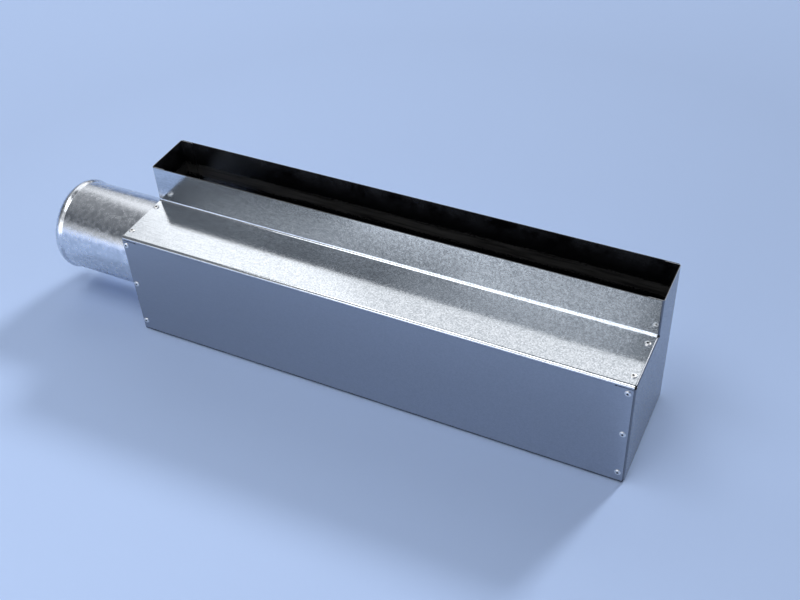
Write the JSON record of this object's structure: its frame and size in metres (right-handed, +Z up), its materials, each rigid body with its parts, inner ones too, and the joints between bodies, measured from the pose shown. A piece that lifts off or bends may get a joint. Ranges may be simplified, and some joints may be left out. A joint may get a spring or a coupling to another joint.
{
  "type": "air plenum box",
  "caption": "Stepped sheet-steel air plenum box with a full-length slot neck along its back, riveted end caps and a round duct spigot at the end.",
  "frame": {"origin": "middle of the underside of the box, without the spigot", "axes": "+X along the box, away from the spigot; -Y out of the ledge side; +Z up out of the slot neck"},
  "size_m": [0.662, 0.1282, 0.172],
  "materials": {
    "galvanised_sheet": "bright galvanised sheet with a fine spangle; the inside of the slot neck is sprayed black",
    "galvanised_spigot": "bright galvanised sheet with a blotchy spangle",
    "rivet_metal": "bright set blind rivets"
  },
  "bodies": {
    "root": {"body_shell": "galvanised_sheet", "blank_end_cap": "galvanised_sheet", "spigot_end_cap": "galvanised_sheet", "duct_spigot": "galvanised_spigot", "blank_end_rivets": "rivet_metal", "spigot_end_rivets": "rivet_metal"}
  },
  "joints": []
}
